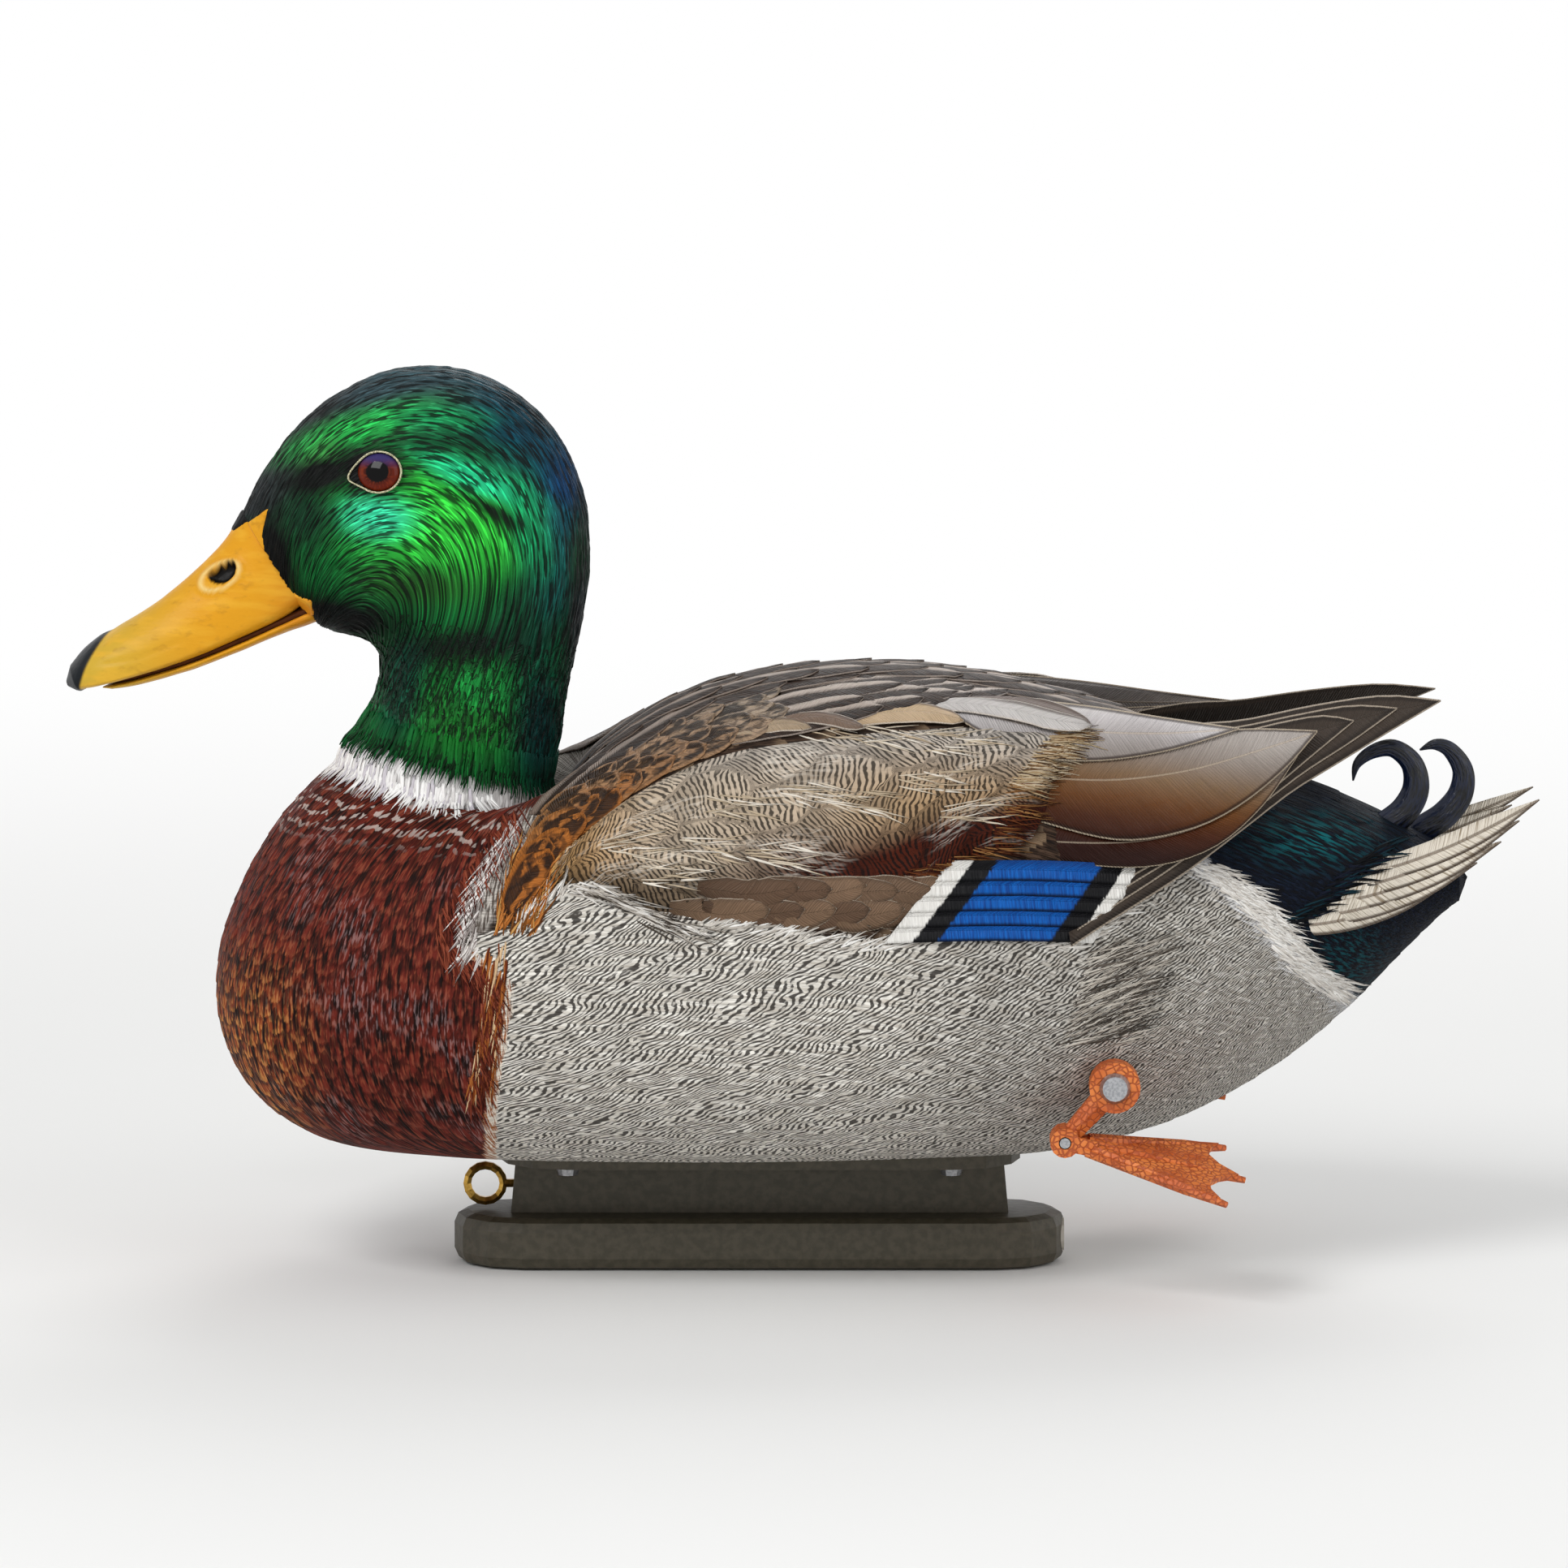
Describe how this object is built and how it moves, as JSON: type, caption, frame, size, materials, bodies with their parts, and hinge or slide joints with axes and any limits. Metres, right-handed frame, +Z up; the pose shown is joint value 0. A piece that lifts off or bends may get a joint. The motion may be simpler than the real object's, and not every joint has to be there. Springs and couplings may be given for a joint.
{
  "type": "floating duck decoy",
  "caption": "Life-size floating mallard drake decoy: foam-filled painted body on a weighted keel, with a head that turns on its neck ring and webbed feet on hinged legs.",
  "frame": {"origin": "under the middle of the decoy's bounding box, in the plane of the keel's flat foot", "axes": "+Z up, the bill points along -X, the drake's left side faces -Y"},
  "size_m": [0.42, 0.1794, 0.2586],
  "materials": {
    "breast": "chestnut barbed feather paint",
    "flank": "pale grey feather paint with fine wavy dark lines",
    "back": "dark brown feather paint with buff edges",
    "rump": "black feather paint with a blue sheen",
    "head": "green feather paint with an iridescent sheen",
    "collar": "white feather paint",
    "bill": "yellow satin paint with a black nail",
    "eye": "brown gloss with a black pupil",
    "wing": "fawn feather paint with fine dark lines",
    "speculum": "blue feather paint with black and white bars",
    "tertial": "taupe and rust feather paint",
    "primary": "dark brown feather paint with pale edges",
    "tail": "ivory feather paint with brown shaft lines",
    "curl": "black gloss feather paint",
    "leg": "orange scaled paint",
    "keel": "olive-brown moulded",
    "foam": "cream rigid foam",
    "nylon": "natural nylon",
    "steel": "bright zinc",
    "ballast": "dull grey",
    "brass": "plain brass"
  },
  "bodies": {
    "body": {"breast_shell": "breast", "hull_shell": "flank", "back_shell": "back", "rump_shell": "rump", "float_core": "foam", "neck_collar": "collar", "neck_bush": "nylon", "tail_curl_front": "curl", "tail_curl_rear": "curl", "keel": "keel", "ballast_bar": "ballast", "ballast_plug": "nylon", "line_eye": "brass", "wing_panel_left": "wing", "speculum_left": "speculum", "tertials_left": "tertial", "primaries_left": "primary", "tail_feathers_left": "tail", "hip_screw_left": "steel", "keel_screw_front_left": "steel", "keel_screw_rear_left": "steel", "wing_panel_right": "wing", "speculum_right": "speculum", "tertials_right": "tertial", "primaries_right": "primary", "tail_feathers_right": "tail", "hip_screw_right": "steel", "keel_screw_front_right": "steel", "keel_screw_rear_right": "steel"},
    "head": {"head": "head", "bill_upper": "bill", "bill_lower": "bill", "eye_left": "eye", "eye_right": "eye", "neck_stem": "steel", "stem_spring": "steel", "stem_washer": "steel", "stem_nut": "steel"},
    "leg_left": {"leg_shank_left": "leg", "ankle_pin_left": "steel"},
    "foot_left": {"foot_left": "leg"},
    "leg_right": {"leg_shank_right": "leg", "ankle_pin_right": "steel"},
    "foot_right": {"foot_right": "leg"}
  },
  "joints": [
    {"name": "head_swivel", "type": "hinge", "parent": "body", "child": "head", "pos_m": [-0.1013, 0, 0.1418], "axis": [0.2504, 0, 0.9681], "range_deg": [-90, 90]},
    {"name": "leg_swing_left", "type": "hinge", "parent": "body", "child": "leg_left", "pos_m": [0.088, -0.06986, 0.0625], "axis": [0, 1, 0], "range_deg": [-30, 25]},
    {"name": "foot_fold_left", "type": "hinge", "parent": "leg_left", "child": "foot_left", "pos_m": [0.074, -0.06986, 0.047], "axis": [0, 1, 0], "range_deg": [-10, 45]},
    {"name": "leg_swing_right", "type": "hinge", "parent": "body", "child": "leg_right", "pos_m": [0.088, 0.06986, 0.0625], "axis": [0, 1, 0], "range_deg": [-30, 25]},
    {"name": "foot_fold_right", "type": "hinge", "parent": "leg_right", "child": "foot_right", "pos_m": [0.074, 0.06986, 0.047], "axis": [0, 1, 0], "range_deg": [-10, 45]}
  ]
}
